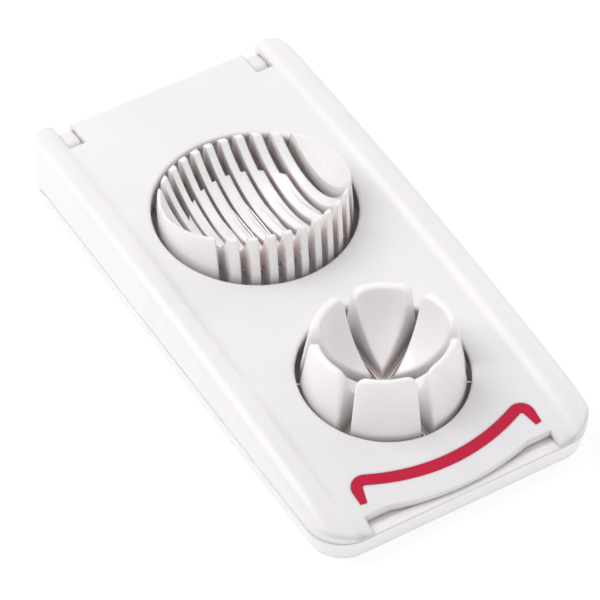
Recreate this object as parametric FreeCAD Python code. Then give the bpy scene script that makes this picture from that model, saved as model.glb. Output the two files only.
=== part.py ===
import FreeCAD, Part
import math
import os

# Egg slicer: a low tray with a slotted egg dish and a petal cup, under a hinged lid strung with wires.
# Millimetres, +Z up, table at z = 0, handle end toward -Y, hinge toward +Y, +X to the right of the handle.

V = FreeCAD.Vector

# Overall outline
LENGTH = 178.0
WIDTH = 92.0
FRONT_CORNER = 12.0
BACK_CORNER = 10.0
WALL = 2.2
EDGE_ROUND = 4.5
BACK_ROUND = 2.5
HOLE_ROUND = 0.8

# Arched lid panel
PANEL_TOP = 20.0
PANEL_THICK = 2.2
PANEL_DROP = 8.733
CREST_FROM_BACK = 30.5
ARCH_SPARE = 15.0
ARCH_BAYS = 18
ROLL_FROM_FRONT = 21.0
ROLL_RADIUS = 75.0
ROLL_BAYS = 4
RAIL_RISE = 1.5
RAIL_RUN = 5.0
RAIL_WIDE = 11.5

# Tray
TRAY_HEIGHT = 7.6
TRAY_FLOOR = 2.0
TRAY_DRAFT = 1.5
LID_GAP = 0.2
SEAT_DEPTH = 0.8
SEAT_CLEAR = 0.1
LEDGE_DROP = 0.4
LEDGE_DEPTH = 6.5
LEDGE_SPARE = 2.0

# Slicing side: hole, drum, dish and slots
SLICE_FROM_BACK = 60.5
SLICE_HOLE_R = 31.0
DRUM_CLEAR = 1.8
DRUM_TAPER = 1.2
DRUM_STRAIGHT_TOP = 20.5
DRUM_FRONT_TOP = 35.2
DRUM_BACK_TOP = 21.2
DRUM_WALL = 3.4
DRUM_ROUND = 0.8
DISH_LONG_R = 31.0
DISH_SHORT_R = 30.0
DISH_SHIFT = 3.0
DISH_OVER_WIRE = 0.2
DISH_THICK = 4.2
BED_R = 19.6
SLOT_COUNT = 10
SLOT_PITCH = 4.8
SLIT_WIDTH = 1.2
SLOT_WIDTH = 2.5
LEDGE_DROP = 0.3
LEDGE_SHIFT = 1.6

# Wedging side: hole, petal cup and slots
WEDGE_FROM_FRONT = 45.4
WEDGE_HOLE_R = 25.4
CUP_CLEAR = 1.4
CUP_TAPER = 3.2
CUP_STRAIGHT_TOP = 14.0
CUP_FRONT_TOP = 33.2
CUP_BACK_TOP = 29.6
CUP_RIM = 1.6
BOWL_DEPTH = 24.0
BOWL_BOTTOM = 11.0
CUP_FLOOR = 2.4
CUP_WALL = 3.0
PETAL_SLOT = 3.8
PETAL_ROUND = 3.5
RIM_ROUND = 0.8
PETAL_SLOT_ANGLES = (90.0, 30.0, 150.0)

# Wires and the rings that hold them
WIRE_R = 0.3
WIRE_Z = 9.5
WIRE_FIT = 0.02
WIRE_SEAT = 2.2
WIRE_FLOOR_GAP = 0.9
RING_THICK = 4.0
RING_SETBACK = 1.6
RING_BOTTOM_GAP = 1.0
RING_SEAT = 0.1
WEDGE_WIRE_STEP = 0.7
WEDGE_WIRE_SHIFT = 0.5

# Hinge
HINGE_FROM_BACK = 6.5
HINGE_Z = 15.0
PIN_R = 1.5
PIN_PRESS = 0.02
PIN_RUN = 0.05
NOTCH_FROM_SIDE = 16.0
NOTCH_WIDTH = 5.7
NOTCH_REACH = 4.4
LUG_R = 3.0
LUG_TAIL = 5.8
LUG_TAIL_DROP = 0.4
LUG_BEVEL = 1.2
LUG_SIDE_GAP = 0.25
CHEEK_THICK = 3.0
CHEEK_R = 3.3
PIN_END_GAP = 0.2
SWING_CLEAR = 0.35

# Thumb tab and accent stripe
TAB_RADIUS = 80.6
TAB_FROM_FRONT = 2.0
TAB_SHOULDER = 5.3
GRIP_HALF = 31.0
GRIP_BLOCK = 9.0
STRIPE_RADIUS = 64.5
STRIPE_FROM_FRONT = 10.0
STRIPE_WIDTH = 3.4
STRIPE_HALF = 25.0
HOOK_TURN = 2.6
HOOK_LENGTH = 4.3
HOOK_TIP_WIDTH = 2.0
HOOK_SPLAY = 7.0
STRIPE_DEEP = 0.8
STRIPE_FIT = 0.05

# Derived heights and positions
HALF_L = LENGTH / 2
HALF_W = WIDTH / 2
CREASE_X = HALF_W - RAIL_WIDE
SLICE_Y = HALF_L - SLICE_FROM_BACK
WEDGE_Y = WEDGE_FROM_FRONT - HALF_L
DRUM_R = SLICE_HOLE_R - DRUM_CLEAR
DRUM_TOP_R = DRUM_R - DRUM_TAPER
CUP_R = WEDGE_HOLE_R - CUP_CLEAR
CUP_TOP_R = CUP_R - CUP_TAPER
BOWL_R = CUP_TOP_R - CUP_RIM
HINGE_Y = HALF_L - HINGE_FROM_BACK
NOTCH_FRONT_Y = HINGE_Y - NOTCH_REACH
NOTCH_X = HALF_W - NOTCH_FROM_SIDE
STRIPE_TIP_Y = STRIPE_FROM_FRONT - HALF_L
SEAT_Z = TRAY_FLOOR - SEAT_DEPTH
LID_BOTTOM = TRAY_HEIGHT + LID_GAP
RAIL_TOP = PANEL_TOP + RAIL_RISE
ARCH_CREST_Y = HALF_L - CREST_FROM_BACK
ARCH_SPAN = HALF_L + ARCH_CREST_Y
ARCH_RADIUS = (ARCH_SPAN ** 2 + PANEL_DROP ** 2) / (2 * PANEL_DROP)
ARCH_AXIS_Z = PANEL_TOP - ARCH_RADIUS
ARCH_BACK_SWEEP = math.degrees(math.asin((CREST_FROM_BACK + ARCH_SPARE) / ARCH_RADIUS))
ROLL_START = math.degrees(math.asin((ARCH_SPAN - ROLL_FROM_FRONT) / ARCH_RADIUS))
ROLL_AXIS_Y = ARCH_CREST_Y - (ARCH_RADIUS - ROLL_RADIUS) * math.sin(math.radians(ROLL_START))
ROLL_AXIS_Z = ARCH_AXIS_Z + (ARCH_RADIUS - ROLL_RADIUS) * math.cos(math.radians(ROLL_START))
ROLL_END = math.degrees(math.atan2(HALF_L + ROLL_AXIS_Y + ARCH_SPARE, LID_BOTTOM - ROLL_AXIS_Z))
DISH_Z = WIRE_Z + WIRE_R + DISH_OVER_WIRE + DISH_SHORT_R
SLOT_FLOOR = WIRE_Z - WIRE_R - WIRE_FLOOR_GAP
PETAL_FLOOR = SLOT_FLOOR - WEDGE_WIRE_STEP
SLICE_RING_R = SLICE_HOLE_R + RING_SETBACK
WEDGE_RING_R = WEDGE_HOLE_R + RING_SETBACK
RING_BOTTOM = WIRE_Z - WIRE_R - RING_BOTTOM_GAP
TALL = 80.0


def along_x(radius, x0, x1, y, z):
    """Cylinder lying along X between x0 and x1."""
    return Part.makeCylinder(radius, x1 - x0, V(x0, y, z), V(1, 0, 0))


def block(x0, x1, y0, y1, z0, z1):
    """Box given by its two ends on each axis."""
    return Part.makeBox(x1 - x0, y1 - y0, z1 - z0, V(x0, y0, z0))


def round_post(radius, y, z0, z1):
    """Upright cylinder on the centre line at y."""
    return Part.makeCylinder(radius, z1 - z0, V(0, y, z0))


def outline(inset, z, front=None):
    """Rounded outline seen from above, drawn in by inset, as a wire at height z."""
    x = HALF_W - inset
    y0 = -HALF_L + inset if front is None else front
    y1 = HALF_L - inset
    rf = FRONT_CORNER - inset
    rb = BACK_CORNER - inset
    k = 1 - math.sqrt(0.5)
    spots = [
        (x - rf, y0), (x - rf * k, y0 + rf * k), (x, y0 + rf),
        (x, y1 - rb), (x - rb * k, y1 - rb * k), (x - rb, y1),
        (-x + rb, y1), (-x + rb * k, y1 - rb * k), (-x, y1 - rb),
        (-x, y0 + rf), (-x + rf * k, y0 + rf * k), (-x + rf, y0),
    ]
    p = [V(px, py, z) for px, py in spots]
    edges = []
    for i in range(0, 12, 3):
        edges.append(Part.Arc(p[i], p[i + 1], p[i + 2]).toShape())
        edges.append(Part.makeLine(p[i + 2], p[(i + 3) % 12]))
    return Part.Wire(edges)


def prism(wire, height):
    """Straight-sided solid raised from a flat wire."""
    return Part.Face(wire).extrude(V(0, 0, height))


def turned(face, base, start, end, bays):
    """Solids swept by a face that turns about a cross axis through base, from start to end, in equal bays."""
    step = (end - start) / bays
    sweeps = []
    for bay in range(bays):
        section = face.copy()
        section.rotate(base, V(1, 0, 0), start + bay * step)
        sweeps.append(section.revolve(base, V(1, 0, 0), step))
    return sweeps


def arched(face, arch_bays=1, roll_bays=1):
    """Sweep a cross-section drawn at the crest along the lid's long arch, then down the roll at its front."""
    arch_axis = V(0, ARCH_CREST_Y, ARCH_AXIS_Z)
    roll_axis = V(0, ROLL_AXIS_Y, ROLL_AXIS_Z)
    sweeps = turned(face, arch_axis, -ARCH_BACK_SWEEP, ROLL_START, arch_bays)
    front = face.copy()
    front.rotate(arch_axis, V(1, 0, 0), ROLL_START)
    sweeps += turned(front, roll_axis, 0, ROLL_END - ROLL_START, roll_bays)
    return sweeps[0].multiFuse(sweeps[1:]).removeSplitter()


def crest_face(points):
    """Cross-section face at the crest from (x, z) corners."""
    p = [V(x, ARCH_CREST_Y, z) for x, z in points]
    return Part.Face(Part.makePolygon(p + [p[0]]))


def under_panel(drop):
    """Everything below the panel's arch lowered by drop."""
    top = PANEL_TOP - drop
    return arched(crest_face([(-TALL, 0), (TALL, 0), (TALL, top), (-TALL, top)]))


def ease(side):
    """Two soft arcs from the panel crease up to the rail, on one side of the lid."""
    half_run = RAIL_RUN / 2
    half_rise = RAIL_RISE / 2
    radius = (half_run ** 2 + half_rise ** 2) / (2 * half_rise)
    bend = math.atan2(half_rise, half_run)
    dx = radius * math.sin(bend)
    dz = radius * (1 - math.cos(bend))

    def at(x, z):
        return V(side * x, ARCH_CREST_Y, z)

    foot = at(CREASE_X, PANEL_TOP)
    middle = at(CREASE_X + half_run, PANEL_TOP + half_rise)
    head = at(CREASE_X + RAIL_RUN, RAIL_TOP)
    low = Part.Arc(foot, at(CREASE_X + dx, PANEL_TOP + dz), middle).toShape()
    high = Part.Arc(middle, at(CREASE_X + RAIL_RUN - dx, RAIL_TOP - dz), head).toShape()
    return foot, head, [low, high]


def lid_section():
    """Cross-section of the lid's outside: flat panel, raised rails, rounded shoulders."""
    foot_l, head_l, soft_l = ease(-1)
    foot_r, head_r, soft_r = ease(1)
    k = EDGE_ROUND * (1 - math.sqrt(0.5))

    def shoulder(side):
        inner = V(side * (HALF_W - EDGE_ROUND), ARCH_CREST_Y, RAIL_TOP)
        mid = V(side * (HALF_W - k), ARCH_CREST_Y, RAIL_TOP - k)
        outer = V(side * HALF_W, ARCH_CREST_Y, RAIL_TOP - EDGE_ROUND)
        return inner, outer, Part.Arc(inner, mid, outer).toShape()

    in_l, out_l, arc_l = shoulder(-1)
    in_r, out_r, arc_r = shoulder(1)
    low_l = V(-HALF_W, ARCH_CREST_Y, 0)
    low_r = V(HALF_W, ARCH_CREST_Y, 0)
    edges = [
        Part.makeLine(low_l, out_l), arc_l, Part.makeLine(in_l, head_l),
        *soft_l, Part.makeLine(foot_l, foot_r), *soft_r,
        Part.makeLine(head_r, in_r), arc_r, Part.makeLine(out_r, low_r), Part.makeLine(low_r, low_l),
    ]
    return Part.Face(Part.Wire(Part.__sortEdges__(edges)))


def back_edges(shape):
    """Long top edge of the straight back end."""
    edges = []
    for edge in shape.Edges:
        box = edge.BoundBox
        at_end = box.YMin > HALF_L - LID_GAP
        if at_end and box.XLength > NOTCH_X and box.ZMin > LID_BOTTOM + LID_GAP:
            edges.append(edge)
    return edges


def hole_rim(shape, radius):
    """Upper edge of an upright round hole."""
    walls = [f for f in shape.Faces if isinstance(f.Surface, Part.Cylinder)]
    edges = []
    for wall in walls:
        if abs(wall.Surface.Radius - radius) < LID_GAP:
            edges += [e for e in wall.Edges if e.Length > radius]
    return max(edges, key=lambda edge: edge.BoundBox.ZMax)


def lid_cavity():
    """Hollow under the lid panel, stopping short of the solid thumb end."""
    front = -HALF_L + GRIP_BLOCK
    room = prism(outline(WALL, -TALL, front), 2 * TALL)
    return room.common(under_panel(PANEL_THICK))


def grip_recess():
    """Finger gaps in front of the curved tab edge, open down to the tray's rim."""
    front = -HALF_L
    tab = round_post(TAB_RADIUS, front + TAB_FROM_FRONT + TAB_RADIUS, 0, TALL)
    return block(-GRIP_HALF, GRIP_HALF, front - WALL, front + TAB_SHOULDER, 0, TALL).cut(tab)


def hooked_end(side, spread):
    """Corner points of the stripe's hooked end on one side, from the back edge round to the front edge."""
    half = STRIPE_WIDTH / 2 + spread
    tip = HOOK_TIP_WIDTH / 2 + spread
    sweep = math.asin(STRIPE_HALF / STRIPE_RADIUS)
    splay = math.radians(HOOK_SPLAY)
    out = V(side * math.sin(sweep), -math.cos(sweep), 0)
    across = V(side * math.cos(splay), math.sin(splay), 0)
    along = V(side * math.sin(splay), -math.cos(splay), 0)
    pivot = V(0, STRIPE_TIP_Y + STRIPE_RADIUS, 0) + out * (STRIPE_RADIUS + HOOK_TURN)
    middle = (across - out).normalize()
    end = pivot + across * HOOK_TURN + along * (HOOK_LENGTH + spread)
    outer = [pivot + way * (HOOK_TURN + half) for way in (-out, middle, across)]
    inner = [pivot + way * (HOOK_TURN - half) for way in (across, middle, -out)]
    return outer, [end + across * tip, end - across * tip], inner


def stripe(spread):
    """Hooked stripe seen from above, widened by spread, as a tall solid."""
    back_y = STRIPE_TIP_Y + STRIPE_WIDTH / 2 + spread
    front_y = STRIPE_TIP_Y - STRIPE_WIDTH / 2 - spread
    edges = []
    ends = {}
    for side in (-1, 1):
        outer, tip, inner = hooked_end(side, spread)
        edges.append(Part.Arc(*outer).toShape())
        edges.append(Part.makePolygon([outer[2], *tip, inner[0]]))
        edges.append(Part.Arc(*inner).toShape())
        ends[side] = (outer[0], inner[2])
    edges.append(Part.Arc(ends[-1][0], V(0, back_y, 0), ends[1][0]).toShape())
    edges.append(Part.Arc(ends[-1][1], V(0, front_y, 0), ends[1][1]).toShape())
    loose = [e for piece in edges for e in piece.Edges]
    return prism(Part.Wire(Part.__sortEdges__(loose)), TALL)


def notch_span(side):
    """X range of one hinge notch."""
    return sorted((side * NOTCH_X, side * (NOTCH_X + NOTCH_WIDTH)))


def lid_cheeks():
    """Bored cheeks under the lid on both sides of each hinge notch."""
    cheeks = []
    for side in (-1, 1):
        x0, x1 = notch_span(side)
        for a, b in ((x0 - CHEEK_THICK, x0), (x1, x1 + CHEEK_THICK)):
            eye = along_x(CHEEK_R, a, b, HINGE_Y, HINGE_Z)
            web = block(a, b, HINGE_Y - CHEEK_R, HINGE_Y + CHEEK_R, HINGE_Z, PANEL_TOP)
            cheeks.append(eye.fuse(web.common(under_panel(PANEL_THICK / 2))))
    return cheeks


def lid_shell():
    """Arched frame with two holes, rails, hinge notches, thumb tab and stripe groove."""
    shell = arched(lid_section(), ARCH_BAYS, ROLL_BAYS)
    shell = shell.common(prism(outline(0, LID_BOTTOM), TALL)).cut(lid_cavity())
    for radius, y in ((SLICE_HOLE_R, SLICE_Y), (WEDGE_HOLE_R, WEDGE_Y)):
        shell = shell.cut(round_post(radius, y, 0, TALL))
        shell = shell.makeFillet(HOLE_ROUND, [hole_rim(shell, radius)])
    shell = shell.cut(grip_recess())
    shell = shell.cut(stripe(STRIPE_FIT).cut(under_panel(STRIPE_DEEP)))
    shell = shell.multiFuse(lid_cheeks())
    for side in (-1, 1):
        x0, x1 = notch_span(side)
        shell = shell.cut(block(x0, x1, NOTCH_FRONT_Y, HALF_L, 0, TALL))
        reach = CHEEK_THICK + WALL
        shell = shell.cut(along_x(PIN_R + PIN_RUN, x0 - reach, x1 + reach, HINGE_Y, HINGE_Z))
    shell = shell.removeSplitter()
    return shell.makeFillet(BACK_ROUND, back_edges(shell))


def accent_inlay():
    """Stripe that fills the groove behind the thumb tab, level with the panel."""
    return stripe(0).common(under_panel(0)).cut(under_panel(STRIPE_DEEP))


def slot_x(index):
    """X of the middle of one slot."""
    return (index - (SLOT_COUNT - 1) / 2) * SLOT_PITCH


def wire_x(index):
    """X of one slicing wire, in the slit along the right side of its slot."""
    return slot_x(index) + (SLOT_WIDTH - SLIT_WIDTH) / 2


def slice_wire(index, grow=0.0):
    """Straight wire across the slicing ring, its ends seated in the ring."""
    x = wire_x(index)
    reach = math.sqrt((SLICE_RING_R + WIRE_SEAT) ** 2 - x ** 2)
    start = V(x, SLICE_Y - reach, WIRE_Z)
    return Part.makeCylinder(WIRE_R + grow, 2 * reach, start, V(0, 1, 0))


def wedge_wire(index, grow=0.0):
    """One of three crossing wires, set a little apart in height where they cross."""
    angle = math.radians(PETAL_SLOT_ANGLES[index])
    way = V(math.cos(angle), math.sin(angle), 0)
    z = WIRE_Z + (index - 1) * WEDGE_WIRE_STEP
    off = V(0, -WEDGE_WIRE_SHIFT, 0)
    along = off.dot(way)
    rest = math.sqrt((WEDGE_RING_R + WIRE_SEAT) ** 2 - (off.Length ** 2 - along ** 2))
    start = V(0, WEDGE_Y - WEDGE_WIRE_SHIFT, z) + way * (-along - rest)
    return Part.makeCylinder(WIRE_R + grow, 2 * rest, start, way)


def wire_ring(inner_r, y, wires):
    """Ring under a lid hole, from the wires up to the panel, with a seat for each wire end."""
    ring = round_post(inner_r + RING_THICK, y, RING_BOTTOM - WEDGE_WIRE_STEP, TALL)
    ring = ring.cut(round_post(inner_r, y, 0, TALL))
    ring = ring.common(under_panel(PANEL_THICK + RING_SEAT))
    return ring.cut(Part.makeCompound(wires))


def slope_top(front_y, front_z, back_y, back_z):
    """Everything above a plane that falls from the front to the back."""
    p = [V(-TALL, front_y, front_z), V(-TALL, back_y, back_z)]
    run = p[1] - p[0]
    side = Part.makePolygon([p[0] - run, p[1] + run, p[1] + run + V(0, 0, TALL),
                             p[0] - run + V(0, 0, TALL), p[0] - run])
    return Part.Face(side).extrude(V(2 * TALL, 0, 0))


def egg_hollow(centre, axis, long_r, short_r):
    """Solid egg shape, longest along axis, that scoops out a dish or a bowl."""
    aside = V(0, 1, 0)
    curve = Part.Ellipse(centre + axis * long_r, centre + aside * short_r, centre)
    half = Part.ArcOfEllipse(curve, 0, math.pi).toShape()
    closing = Part.makeLine(centre - axis * long_r, centre + axis * long_r)
    return Part.Face(Part.Wire([half, closing])).revolve(centre, axis, 360)


def dish(grow):
    """Egg-shaped hollow of the dish, longest across the slots, enlarged by grow."""
    centre = V(0, SLICE_Y + DISH_SHIFT, DISH_Z)
    return egg_hollow(centre, V(1, 0, 0), DISH_LONG_R + grow, DISH_SHORT_R + grow)


def drum(radius, top_radius, straight_top, top, y):
    """Upright post that tapers above the lid so the lid clears it as it swings."""
    post = round_post(radius, y, SEAT_Z, straight_top)
    return post.fuse(Part.makeCone(radius, top_radius, top - straight_top, V(0, y, straight_top)))


def slicing_cradle():
    """Slotted drum with a tilted egg dish; slots are wide in the wall and narrow in the bed."""
    body = drum(DRUM_R, DRUM_TOP_R, DRUM_STRAIGHT_TOP, DRUM_FRONT_TOP, SLICE_Y)
    body = body.cut(slope_top(SLICE_Y - DRUM_TOP_R, DRUM_FRONT_TOP, SLICE_Y + DRUM_R, DRUM_BACK_TOP))
    crown = [f for f in body.Faces if isinstance(f.Surface, Part.Plane) and f.BoundBox.ZMin > SEAT_Z]
    body = body.makeFillet(DRUM_ROUND, crown[0].Edges)
    hollow = round_post(DRUM_R - DRUM_WALL, SLICE_Y, SEAT_Z, DISH_Z).cut(dish(DISH_THICK))
    body = body.cut(hollow).cut(dish(0))
    bed = round_post(BED_R, SLICE_Y, 0, TALL)
    ledge_room = dish(LEDGE_DROP)
    ledge_room.translate(V(0, -LEDGE_SHIFT, 0))
    ledge_room = ledge_room.common(bed)
    back = SLICE_Y + DRUM_R + WALL
    front = SLICE_Y - DRUM_R - WALL
    slits = []
    slots = []
    for index in range(SLOT_COUNT):
        x1 = slot_x(index) + SLOT_WIDTH / 2
        slits.append(block(x1 - SLIT_WIDTH, x1, front, back, SLOT_FLOOR, TALL))
        slots.append(block(x1 - SLOT_WIDTH, x1, front, back, SLOT_FLOOR, TALL))
    wide = Part.makeCompound(slots)
    body = body.cut(Part.makeCompound(slits))
    body = body.cut(wide.cut(bed))
    body = body.cut(wide.common(ledge_room))
    return body.removeSplitter()


def petal_rims(cup):
    """Curved edges round the tops of the petals, outside and along the bowl."""
    tops = [f for f in cup.Faces if f.BoundBox.ZMin > CUP_BACK_TOP - 2 * PETAL_ROUND]
    found = {}
    for edge in [e for f in tops for e in f.Edges]:
        found.setdefault(edge.hashCode(), []).append(edge)
    border = [same[0] for same in found.values() if len(same) == 1]
    return [e for e in border if not isinstance(e.Curve, Part.Line)]


def wedging_cup():
    """Six petals round a bowl, parted by three crossing slots."""
    body = drum(CUP_R, CUP_TOP_R, CUP_STRAIGHT_TOP, CUP_FRONT_TOP, WEDGE_Y)
    body = body.cut(slope_top(WEDGE_Y - CUP_TOP_R, CUP_FRONT_TOP, WEDGE_Y + CUP_TOP_R, CUP_BACK_TOP))
    middle = V(0, WEDGE_Y, BOWL_BOTTOM + BOWL_DEPTH)
    body = body.cut(egg_hollow(middle, V(0, 0, 1), BOWL_DEPTH, BOWL_R))
    body = body.cut(round_post(CUP_R - CUP_WALL, WEDGE_Y, SEAT_Z, PETAL_FLOOR - CUP_FLOOR))
    for angle in PETAL_SLOT_ANGLES:
        cutter = block(-CUP_R - WALL, CUP_R + WALL, -PETAL_SLOT / 2, PETAL_SLOT / 2, PETAL_FLOOR, TALL)
        cutter.rotate(V(0, 0, 0), V(0, 0, 1), angle)
        cutter.translate(V(0, WEDGE_Y, 0))
        body = body.cut(cutter)
    body = body.removeSplitter()
    straight = [e for e in body.Edges if isinstance(e.Curve, Part.Line)]
    corners = [e for e in straight if e.BoundBox.ZMin > CUP_BACK_TOP - LID_GAP]
    body = body.makeFillet(PETAL_ROUND, corners)
    return body.makeFillet(RIM_ROUND, petal_rims(body))


def lug_web(x0, x1):
    """Upright under one hinge lug, with a tail that slopes down toward the back."""
    front = HINGE_Y - LUG_R
    back = HINGE_Y + LUG_TAIL
    top = HINGE_Z + LUG_R
    spots = [(front, TRAY_FLOOR / 2), (back, TRAY_FLOOR / 2), (back, top - LUG_TAIL_DROP - LUG_BEVEL),
             (back - LUG_BEVEL, top - LUG_TAIL_DROP), (HINGE_Y, top), (HINGE_Y, HINGE_Z), (front, HINGE_Z)]
    points = [V(x0, y, z) for y, z in spots]
    return Part.Face(Part.makePolygon(points + points[:1])).extrude(V(x1 - x0, 0, 0))


def base_tray():
    """Drafted tray with a ledge under the finger gaps, two round seats, a swing scoop and two hinge lugs."""
    foot = outline(TRAY_DRAFT, 0)
    rim = outline(0, TRAY_HEIGHT)
    tray = Part.makeLoft([foot, rim], True, True)
    tray = tray.cut(prism(outline(WALL + TRAY_DRAFT, TRAY_FLOOR), TALL))
    inner_front = -HALF_L + WALL + TRAY_DRAFT
    ledge_half = GRIP_HALF + LEDGE_SPARE
    ledge_top = TRAY_HEIGHT - LEDGE_DROP
    tray = tray.fuse(block(-ledge_half, ledge_half, inner_front - WALL / 2, inner_front + LEDGE_DEPTH,
                           TRAY_FLOOR / 2, ledge_top))
    for radius, y in ((DRUM_R, SLICE_Y), (CUP_R, WEDGE_Y)):
        tray = tray.cut(round_post(radius + SEAT_CLEAR, y, SEAT_Z, TRAY_HEIGHT))
    swing = math.hypot(HALF_L - HINGE_Y, HINGE_Z - LID_BOTTOM) + SWING_CLEAR
    tray = tray.cut(along_x(swing, -HALF_W, HALF_W, HINGE_Y, HINGE_Z))
    for side in (-1, 1):
        x0, x1 = notch_span(side)
        x0 += LUG_SIDE_GAP
        x1 -= LUG_SIDE_GAP
        lug = along_x(LUG_R, x0, x1, HINGE_Y, HINGE_Z)
        lug = lug.fuse(lug_web(x0, x1))
        lug = lug.cut(along_x(PIN_R + PIN_PRESS, x0, x1, HINGE_Y, HINGE_Z))
        tray = tray.fuse(lug)
    return tray.removeSplitter()


def hinge_pin(side):
    """Pin through one lug, its ends inside the lid's cheeks."""
    x0, x1 = notch_span(side)
    reach = CHEEK_THICK - PIN_END_GAP
    return along_x(PIN_R, x0 - reach, x1 + reach, HINGE_Y, HINGE_Z)


def build():
    """Every node of the egg slicer by name."""
    slice_seats = [slice_wire(i, WIRE_FIT) for i in range(SLOT_COUNT)]
    wedge_seats = [wedge_wire(i, WIRE_FIT) for i in range(len(PETAL_SLOT_ANGLES))]
    nodes = {
        "base_tray": base_tray(),
        "slicing_cradle": slicing_cradle(),
        "wedging_cup": wedging_cup(),
        "hinge_pin_left": hinge_pin(-1),
        "hinge_pin_right": hinge_pin(1),
        "lid_shell": lid_shell(),
        "slicing_ring": wire_ring(SLICE_RING_R, SLICE_Y, slice_seats),
        "wedging_ring": wire_ring(WEDGE_RING_R, WEDGE_Y, wedge_seats),
        "accent_inlay": accent_inlay(),
    }
    for i in range(SLOT_COUNT):
        nodes[f"slice_wire_{i + 1:02d}"] = slice_wire(i)
    for i in range(len(PETAL_SLOT_ANGLES)):
        nodes[f"wedge_wire_{i + 1}"] = wedge_wire(i)
    return nodes


os.makedirs("parts", exist_ok=True)
for name, shape in build().items():
    shape.exportStep(f"parts/{name}.step")
    box = shape.BoundBox
    print(name, "solids", len(shape.Solids), "valid", shape.isValid(),
          [round(v, 2) for v in (box.XMin, box.YMin, box.ZMin, box.XMax, box.YMax, box.ZMax)])
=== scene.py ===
# %% [markdown]
# # An egg slicer in white plastic
#
# The real object is a kitchen tool: a low tray carries a slotted dish for slicing an egg and a petal cup
# for cutting one into wedges, and a hinged lid strung with steel wires comes down over both. Its shapes
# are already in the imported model, so this lesson loads them as a fixed frame and works on what a camera
# sees: the viewpoint, the studio, and the three finishes, which are moulded white plastic, red plastic
# and drawn steel wire.

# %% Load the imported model
import bpy
import math
from mathutils import Matrix, Vector

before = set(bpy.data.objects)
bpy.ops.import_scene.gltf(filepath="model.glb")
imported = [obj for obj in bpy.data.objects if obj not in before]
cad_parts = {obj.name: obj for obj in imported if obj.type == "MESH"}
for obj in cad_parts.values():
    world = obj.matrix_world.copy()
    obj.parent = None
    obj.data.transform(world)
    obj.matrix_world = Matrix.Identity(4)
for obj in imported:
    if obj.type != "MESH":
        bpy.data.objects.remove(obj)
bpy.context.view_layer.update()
bpy.ops.object.select_all(action="DESELECT")
scene = bpy.context.scene

# %% [markdown]
# ## The viewpoint
#
# The photograph looks down on the slicer from its thumb end, a little to the left, through a long lens
# that keeps parallel edges nearly parallel. A camera can be aimed by hand, but here its place was worked
# out from the two round holes of the lid, whose ellipses fix the direction. It is stated the way a
# photographer would: turn, tilt, distance, and a small slide sideways and up.

# %% Place the camera
TURN = math.radians(-31.01)
TILT = math.radians(46.67)
DISTANCE = 1.06774
AIM = Vector((0, 0.0285, 0.02))
SLIDE_RIGHT = 0.01332
SLIDE_UP = -0.02809
LENS_MM = 216
SENSOR_MM = 36
NEAR_CLIP = 0.05

toward_eye = Vector((math.sin(TURN) * math.cos(TILT), -math.cos(TURN) * math.cos(TILT), math.sin(TILT)))
rightward = Vector((math.cos(TURN), math.sin(TURN), 0))
upward = toward_eye.cross(rightward)
eye = AIM + toward_eye * DISTANCE + rightward * SLIDE_RIGHT + upward * SLIDE_UP
facing_object = Matrix((rightward, upward, toward_eye)).transposed().to_4x4()

lens = bpy.data.cameras.new("long_lens")
lens.lens = LENS_MM
lens.sensor_width = SENSOR_MM
lens.clip_start = NEAR_CLIP
camera = bpy.data.objects.new("long_lens", lens)
scene.collection.objects.link(camera)
camera.matrix_world = Matrix.Translation(eye) @ facing_object
scene.camera = camera
print("camera at", [round(v, 3) for v in eye])

# %% [markdown]
# ## Small helpers for node trees
#
# A finish is a tree of nodes. Adding a node, setting its sockets and wiring it takes several lines each
# time, so a few short helpers do that, and the finishes below read like recipes.

# %% Node helpers
def wire(tree, value, socket):
    """Link an output into a socket, or set the socket to a plain value."""
    if isinstance(value, bpy.types.NodeSocket):
        tree.links.new(value, socket)
    else:
        socket.default_value = value


def add(tree, kind, settings=None, **sockets):
    """New node of a kind, with properties from settings and socket values or links by name."""
    made = tree.nodes.new(kind)
    for key, value in (settings or {}).items():
        setattr(made, key, value)
    for key, value in sockets.items():
        wire(tree, value, made.inputs[key.replace("_", " ")])
    return made


def calculate(tree, operation, *values, kind="ShaderNodeMath", output=0, clamp=False):
    """Output of a Math or Vector Math node that works on the values in order."""
    made = add(tree, kind, {"operation": operation})
    if clamp:
        made.use_clamp = True
    for socket, value in zip(made.inputs, values):
        wire(tree, value, socket)
    return made.outputs[output]


def remap(tree, value, start, end, low=0.0, high=1.0):
    """Output that goes from low to high as a value goes from start to end, and stays there beyond."""
    return add(tree, "ShaderNodeMapRange", Value=value, From_Min=start, From_Max=end,
               To_Min=low, To_Max=high).outputs[0]


def fresh_material(name):
    """Empty node material, its tree and its Principled shader."""
    material = bpy.data.materials.new(name)
    material.use_nodes = True
    tree = material.node_tree
    tree.nodes.clear()
    skin = tree.nodes.new("ShaderNodeBsdfPrincipled")
    output = tree.nodes.new("ShaderNodeOutputMaterial")
    tree.links.new(skin.outputs["BSDF"], output.inputs["Surface"])
    return material, tree, skin


print("helpers", [helper.__name__ for helper in (wire, add, calculate, remap, fresh_material)])

# %% [markdown]
# ## The studio
#
# White goods are photographed in a tent of soft light, on a sweep so bright that it burns out to white.
# More lamp power would burn out the plastic too, so the floor and the sky give the camera their own white
# instead, through the Light Path node, while the light that falls on the slicer stays at a plain level.
# Mirrors and glass should show that same white, so glossy and transmission rays count as seeing it too.
# The sweep also throws light back up at the slicer. It is only partly self-lit: the rest of it is matt,
# so the soft shadow under the tray is still there.

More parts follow.
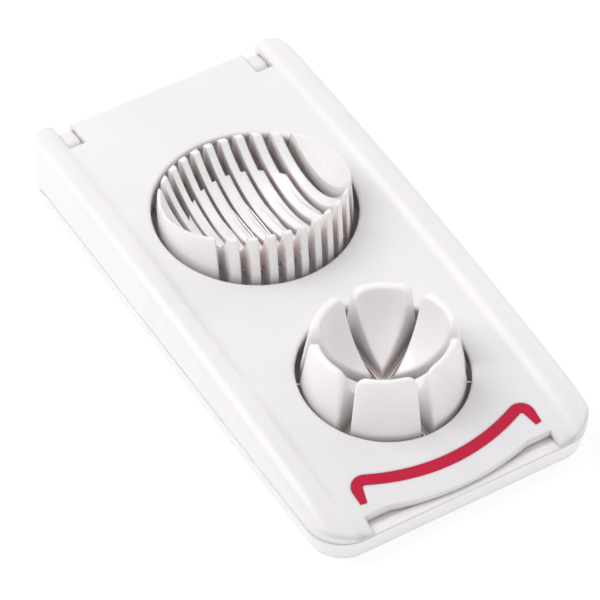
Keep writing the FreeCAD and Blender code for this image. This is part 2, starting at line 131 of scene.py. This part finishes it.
# %% Lay the floor
WHITE = (1, 1, 1, 1)
FLOOR_SIZE = 6
FLOOR_LIGHT = 0.42
FLOOR_LIGHT_SEEN = 0.8
FLOOR_GREY = (0.8, 0.8, 0.8, 1)
FLOOR_GREY_SEEN = (0.24, 0.24, 0.24, 1)
FLOOR_ROUGHNESS = 0.9


def rays_that_see(tree):
    """Output that is 1 on the rays that show the background, and 0 on those that only light the object."""
    path = add(tree, "ShaderNodeLightPath")
    seen = path.outputs["Is Camera Ray"]
    for kind in ("Is Glossy Ray", "Is Transmission Ray"):
        seen = calculate(tree, "MAXIMUM", seen, path.outputs[kind])
    return seen


bpy.ops.mesh.primitive_plane_add(size=FLOOR_SIZE, location=(0, 0, 0))
floor = bpy.context.object
floor.name = "floor"
sweep, tree, skin = fresh_material("sweep")
floor.data.materials.append(sweep)
seen = rays_that_see(tree)
matt = add(tree, "ShaderNodeMixRGB", Fac=seen, Color1=FLOOR_GREY, Color2=FLOOR_GREY_SEEN)
wire(tree, matt.outputs["Color"], skin.inputs["Base Color"])
wire(tree, FLOOR_ROUGHNESS, skin.inputs["Roughness"])
wire(tree, 0, skin.inputs["Specular IOR Level"])
wire(tree, WHITE, skin.inputs["Emission Color"])
wire(tree, remap(tree, seen, 0, 1, FLOOR_LIGHT, FLOOR_LIGHT_SEEN), skin.inputs["Emission Strength"])
print("floor", floor.name, "with", sweep.name)

# %% Hang the sky
SKY_LIGHT = 0.55
SKY_LIGHT_SEEN = 1.0

world = bpy.data.worlds.new("tent")
world.use_nodes = True
scene.world = world
tree = world.node_tree
tree.nodes.clear()
brightness = remap(tree, rays_that_see(tree), 0, 1, SKY_LIGHT, SKY_LIGHT_SEEN)
sky = add(tree, "ShaderNodeBackground", Color=WHITE, Strength=brightness)
add(tree, "ShaderNodeOutputWorld", Surface=sky.outputs[0])
scene.view_settings.view_transform = "Standard"
print("sky", world.name, "at", SKY_LIGHT)

# %% [markdown]
# ## Three soft lamps
#
# A large lamp at the back left makes the main shading, as a window would. Two weak ones stand for white
# cards: one in front keeps the near walls from going grey, and one on the right lifts the right rail.

# %% Hang the lamps
LAMP_TARGET = Vector((0, 0, 0.02))


def hang_lamp(name, place, width, power):
    """Square soft lamp of a width in metres and a power in watts, turned to face the slicer."""
    light = bpy.data.lights.new(name, "AREA")
    light.size = width
    light.energy = power
    lamp = bpy.data.objects.new(name, light)
    scene.collection.objects.link(lamp)
    lamp.location = place
    lamp.rotation_euler = (LAMP_TARGET - Vector(place)).to_track_quat("-Z", "Y").to_euler()
    lamp.visible_camera = False
    return lamp


lamps = [
    hang_lamp("window_left", (-0.4, 0.35, 0.75), width=0.6, power=4.6),
    hang_lamp("card_front", (0.3, -0.95, 0.5), width=0.8, power=1.1),
    hang_lamp("card_right", (0.75, 0.15, 0.5), width=0.6, power=1.35),
]
print("lamps", [lamp.name for lamp in lamps])

# %% [markdown]
# ## Moulded plastic
#
# A moulded part is never one flat colour. The melt leaves faint drifts of tone, the tool leaves a very
# fine grain, handling leaves hairline scuffs that only show in the gloss, and no edge is sharp: the
# corners of the tool are always a little round. Deep slots get a warmer, darker painted shade, and edges
# a paler tone that is partly wear and partly painted highlight. All white and red pieces share these
# traits, so they are built once as a node group.

# %% Start the moulded skin group
def new_group(name, inputs, outputs):
    """Shader node group with named sockets, and its input and output nodes."""
    group = bpy.data.node_groups.new(name, "ShaderNodeTree")
    for label, kind in inputs:
        group.interface.new_socket(label, in_out="INPUT", socket_type="NodeSocket" + kind)
    for label, kind in outputs:
        group.interface.new_socket(label, in_out="OUTPUT", socket_type="NodeSocket" + kind)
    return group, group.nodes.new("NodeGroupInput"), group.nodes.new("NodeGroupOutput")


moulded, given, result = new_group(
    "moulded_skin",
    [("Tint", "Color"), ("Depth Tint", "Color"), ("Gloss", "Float"), ("Edge Round", "Float"),
     ("Depth Reach", "Float"), ("Grain", "Float")],
    [("Color", "Color"), ("Roughness", "Float"), ("Normal", "Vector")],
)
spot = add(moulded, "ShaderNodeTexCoord").outputs["Object"]
print("group", moulded.name, "with inputs", [socket.name for socket in given.outputs if socket.name])

# %% [markdown]
# ## Its colour
#
# Three things change the colour. A slow noise drifts the tint up and down. Ambient occlusion finds the
# places where something stands close in front of the surface, and turns them to a painted shade. A Bevel
# node bends the shading normal near an edge as a small fillet would, and where the bent normal differs
# from the true one there is an edge, which is lifted a little: partly wear, since rubbed edges are paler,
# and partly a painted highlight.

# %% Colour the skin
DRIFT_SCALE = 34.0
DRIFT_BAND = (0.3, 0.7)
TONE_RANGE = (0.975, 1.012)
SHADE_BAND = (0.35, 0.7)
EDGE_BAND = (1.0, 0.75)
EDGE_WEAR_AND_HIGHLIGHT = (0.1, 0.1, 0.1, 1)

drift = add(moulded, "ShaderNodeTexNoise", Vector=spot, Scale=DRIFT_SCALE, Detail=3.0,
            Roughness=0.55).outputs[0]
toned = add(moulded, "ShaderNodeVectorMath", {"operation": "SCALE"},
            Scale=remap(moulded, drift, *DRIFT_BAND, *TONE_RANGE))
wire(moulded, given.outputs["Tint"], toned.inputs[0])

# Painted shade: places fenced in by nearby surfaces are mixed to the painted shade colour.
hollow = add(moulded, "ShaderNodeAmbientOcclusion", {"samples": 8}, Distance=given.outputs["Depth Reach"])
shaded = add(moulded, "ShaderNodeMixRGB", Fac=remap(moulded, hollow.outputs["AO"], *SHADE_BAND),
             Color1=given.outputs["Depth Tint"], Color2=toned.outputs[0])

eased = add(moulded, "ShaderNodeBevel", {"samples": 6}, Radius=given.outputs["Edge Round"]).outputs[0]
true_normal = add(moulded, "ShaderNodeNewGeometry").outputs["Normal"]
likeness = calculate(moulded, "DOT_PRODUCT", eased, true_normal, kind="ShaderNodeVectorMath", output="Value")
# Painted highlight and wear: edges are screened towards a paler tone.
worn_and_lit_edge = add(moulded, "ShaderNodeMixRGB", {"blend_type": "SCREEN"}, Color1=shaded.outputs[0],
             Color2=EDGE_WEAR_AND_HIGHLIGHT, Fac=remap(moulded, likeness, *EDGE_BAND))
wire(moulded, worn_and_lit_edge.outputs[0], result.inputs["Color"])
print("colour nodes", len(moulded.nodes))

# %% [markdown]
# ## Its grain and gloss
#
# The grain is a bump of a few hundredths of a millimetre, laid over the eased normal. The gloss is the
# finish's own value, made a little duller along hairline scuffs and a little uneven by the same slow
# drift.

# %% Grain and gloss of the skin
GRAIN_SCALE = 2600.0
GRAIN_HEIGHT = 0.00006
SCUFF_STRETCH = (900.0, 45.0, 300.0)
SCUFF_TURN = (0, 0, 0.35)
SCUFF_BAND = (0.52, 0.72)
SCUFF_DULL = 0.05
SMEAR_RANGE = (-0.04, 0.05)

grain = add(moulded, "ShaderNodeTexNoise", Vector=spot, Scale=GRAIN_SCALE, Detail=2.0)
fine = add(moulded, "ShaderNodeBump", Height=grain.outputs[0], Strength=given.outputs["Grain"],
           Distance=GRAIN_HEIGHT, Normal=eased)
wire(moulded, fine.outputs[0], result.inputs["Normal"])

along = add(moulded, "ShaderNodeMapping", Vector=spot, Scale=SCUFF_STRETCH, Rotation=SCUFF_TURN)
scuff = add(moulded, "ShaderNodeTexNoise", Vector=along.outputs[0], Scale=1.0, Detail=4.0)
worn = remap(moulded, scuff.outputs[0], *SCUFF_BAND, high=SCUFF_DULL)
smear = remap(moulded, drift, *DRIFT_BAND, *SMEAR_RANGE)
both = calculate(moulded, "ADD", worn, smear)
rough = calculate(moulded, "ADD", given.outputs["Gloss"], both, clamp=True)
wire(moulded, rough, result.inputs["Roughness"])
print("group", moulded.name, "with", len(moulded.nodes), "nodes")

# %% [markdown]
# ## White and red finishes
#
# The lid and the tray are semi-gloss, the dish and the cup a little glossier, as if polished to let the
# egg slide. Deep places are painted a warm brown-grey shade, standing in for light that bounces many
# times inside slightly cream plastic and loses its blue. White plastic also lets some light in and gives
# it back a millimetre or two away, which softens the shadows in the slots, so the white finishes scatter
# light under the surface. The red stripe is the same plastic with a strong pigment, which lets none
# through, a weaker shine, and hardly any painted shade in its depths.

# %% Mix the plastics
# Each tint below is followed by the painted shade colour for its deep places.
SHELL_WHITE = (0.84, 0.818, 0.832)
SHELL_PAINTED_SHADE = (0.8, 0.76, 0.75)
INNER_WHITE = (0.905, 0.882, 0.888)
SLOT_PAINTED_SHADE = (0.58, 0.49, 0.475)
STRIPE_RED = (0.55, 0.012, 0.05)
STRIPE_PAINTED_SHADE = (0.4, 0.01, 0.035)
SHELL_EDGE = 0.0012
SEEP_SPREAD = (1.0, 0.8, 0.72)
SEEP_REACH = 0.0025
PLASTIC_IOR = 1.49


def plastic(name, tint, painted_shade, gloss, edge_round, depth_reach, grain, seep, shine=0.5):
    """Moulded plastic of one tint: edge_round and depth_reach are in metres, seep is the light let in."""
    material, tree, skin = fresh_material(name)
    look = add(tree, "ShaderNodeGroup", {"node_tree": moulded}, Tint=(*tint, 1), Depth_Tint=(*painted_shade, 1),
               Gloss=gloss, Edge_Round=edge_round, Depth_Reach=depth_reach, Grain=grain)
    wire(tree, look.outputs["Color"], skin.inputs["Base Color"])
    wire(tree, look.outputs["Roughness"], skin.inputs["Roughness"])
    wire(tree, look.outputs["Normal"], skin.inputs["Normal"])
    wire(tree, seep, skin.inputs["Subsurface Weight"])
    wire(tree, SEEP_SPREAD, skin.inputs["Subsurface Radius"])
    wire(tree, SEEP_REACH, skin.inputs["Subsurface Scale"])
    wire(tree, PLASTIC_IOR, skin.inputs["IOR"])
    wire(tree, shine, skin.inputs["Specular IOR Level"])
    return material


shell_white = plastic("shell_white", SHELL_WHITE, SHELL_PAINTED_SHADE, gloss=0.32, edge_round=SHELL_EDGE,
                      depth_reach=0.004, grain=0.3, seep=0.3)
tray_white = plastic("tray_white", SHELL_WHITE, SHELL_PAINTED_SHADE, gloss=0.34, edge_round=SHELL_EDGE,
                     depth_reach=0.003, grain=0.3, seep=0.3)
dish_white = plastic("dish_white", INNER_WHITE, SLOT_PAINTED_SHADE, gloss=0.24, edge_round=0.0007,
                     depth_reach=0.0045, grain=0.15, seep=0.5)
cup_white = plastic("cup_white", INNER_WHITE, SLOT_PAINTED_SHADE, gloss=0.2, edge_round=0.0013,
                    depth_reach=0.0045, grain=0.12, seep=0.5)
stripe_red = plastic("stripe_red", STRIPE_RED, STRIPE_PAINTED_SHADE, gloss=0.38, edge_round=0.0002,
                     depth_reach=0.002, grain=0.3, seep=0.0, shine=0.2)
plastics = (shell_white, tray_white, dish_white, cup_white, stripe_red)
print("plastics", [material.name for material in plastics])

# %% [markdown]
# ## Paler painted shade on the outer walls
#
# A narrow gap runs around the dish and the cup, and there the painted shade would creep up their outer
# walls as a soft dark band. On the real pieces the outside is as pale as the top, and only the slots are
# deep, so the outer walls get a much paler painted shade. An outer wall faces straight away from the
# piece's upright axis, while a slot's wall faces sideways, so the angle between the surface and that
# direction tells the two apart, and the painted shade colour is mixed by it.

# %% Keep the outer walls pale
# Painted shade colour for the outer walls, much paler than the one in the slots.
OUTER_WALL_SHADE = (0.86, 0.83, 0.825)
OUTSIDE_BAND = (0.75, 0.92)
DISH_AXIS_Y = 0.0285
CUP_AXIS_Y = -0.0436


def pale_outside(material, axis_y):
    """Lighten the painted shade of surfaces that face away from an upright axis at axis_y, in metres."""
    tree = material.node_tree
    here = add(tree, "ShaderNodeTexCoord")
    vectors = "ShaderNodeVectorMath"
    offset = calculate(tree, "SUBTRACT", here.outputs["Object"], (0, axis_y, 0), kind=vectors)
    level = calculate(tree, "MULTIPLY", offset, (1, 1, 0), kind=vectors)
    outward = calculate(tree, "NORMALIZE", level, kind=vectors)
    facing = calculate(tree, "DOT_PRODUCT", outward, here.outputs["Normal"], kind=vectors, output="Value")
    # Painted shade colour, mixed by facing: dark in the slots, pale on the outer walls.
    tint = add(tree, "ShaderNodeMixRGB", Fac=remap(tree, facing, *OUTSIDE_BAND),
               Color1=(*SLOT_PAINTED_SHADE, 1), Color2=(*OUTER_WALL_SHADE, 1))
    wire(tree, tint.outputs[0], tree.nodes["Group"].inputs["Depth Tint"])


pale_outside(dish_white, DISH_AXIS_Y)
pale_outside(cup_white, CUP_AXIS_Y)
print("pale outer walls on", dish_white.name, "and", cup_white.name)

# %% [markdown]
# ## Softer front corners
#
# At the two front corners the side rails run out into a rounder edge than the rest of the lid has. The
# Edge Round input takes a link as well as a number, so a mask of the lid's own coordinates raises it
# there and nowhere else.

# %% Round the front corners of the lid
CORNER_SIDE = (0.0305, 0.0345)
CORNER_FRONT = (-0.066, -0.08)
CORNER_EDGE = 0.0032

tree = shell_white.node_tree
here = add(tree, "ShaderNodeTexCoord").outputs["Object"]
place = add(tree, "ShaderNodeSeparateXYZ", Vector=here)
side = calculate(tree, "ABSOLUTE", place.outputs["X"])
outer = remap(tree, side, *CORNER_SIDE)
ahead = remap(tree, place.outputs["Y"], *CORNER_FRONT)
corner = calculate(tree, "MULTIPLY", outer, ahead)
wire(tree, remap(tree, corner, 0, 1, SHELL_EDGE, CORNER_EDGE), tree.nodes["Group"].inputs["Edge Round"])
print("corner mask on", shell_white.name)

# %% [markdown]
# ## Drawn steel
#
# A cutting wire is pulled through a die, which leaves streaks along its length. A noise squeezed across
# the wire and stretched along it gives those streaks. The wires lie in different directions, so the
# pattern is turned to each. The hinge pins lie across the slicer and are drawn the same way.

# %% Draw the steel
STREAK_STRETCH = (120.0, 9000.0, 9000.0)
STEEL_DARK = (0.62, 0.62, 0.63, 1)
STEEL_BRIGHT = (0.86, 0.86, 0.87, 1)
STEEL_ROUGHNESS = (0.14, 0.34)
HEADINGS = (0, 30, 90, 150)


def drawn_steel(name, heading):
    """Bright wire steel with streaks along a heading, in degrees from +X."""
    material, tree, skin = fresh_material(name)
    here = add(tree, "ShaderNodeTexCoord").outputs["Object"]
    turned = add(tree, "ShaderNodeMapping", Vector=here, Rotation=(0, 0, math.radians(-heading)))
    drawn = add(tree, "ShaderNodeMapping", Vector=turned.outputs[0], Scale=STREAK_STRETCH)
    streak = add(tree, "ShaderNodeTexNoise", Vector=drawn.outputs[0], Scale=1.0, Detail=3.0).outputs[0]
    shade = add(tree, "ShaderNodeMixRGB", Fac=streak, Color1=STEEL_DARK, Color2=STEEL_BRIGHT)
    wire(tree, shade.outputs[0], skin.inputs["Base Color"])
    wire(tree, remap(tree, streak, 0, 1, *STEEL_ROUGHNESS), skin.inputs["Roughness"])
    wire(tree, 1.0, skin.inputs["Metallic"])
    return material


STEEL = {heading: drawn_steel(f"wire_steel_{heading}", heading) for heading in HEADINGS}
print("steels", [material.name for material in STEEL.values()])

# %% [markdown]
# ## Dress every piece
#
# Each node keeps its mesh and place, and only its material slot changes. The ten slicing wires all run
# lengthwise, so a piece that isn't listed takes the steel drawn that way.

# %% Assign the finishes
FINISH = {
    "base_tray": tray_white,
    "lid_shell": shell_white,
    "slicing_ring": shell_white,
    "wedging_ring": shell_white,
    "slicing_cradle": dish_white,
    "wedging_cup": cup_white,
    "accent_inlay": stripe_red,
    "hinge_pin_left": STEEL[0],
    "hinge_pin_right": STEEL[0],
    "wedge_wire_1": STEEL[90],
    "wedge_wire_2": STEEL[30],
    "wedge_wire_3": STEEL[150],
}
for name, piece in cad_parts.items():
    piece.data.materials.clear()
    piece.data.materials.append(FINISH.get(name, STEEL[90]))
print("dressed", len(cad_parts), "pieces")

# %% [markdown]
# ## Close
#
# Blender only adds looks, so the finished model must fill the same box as the imported one.

# %% Finish
print("finished")
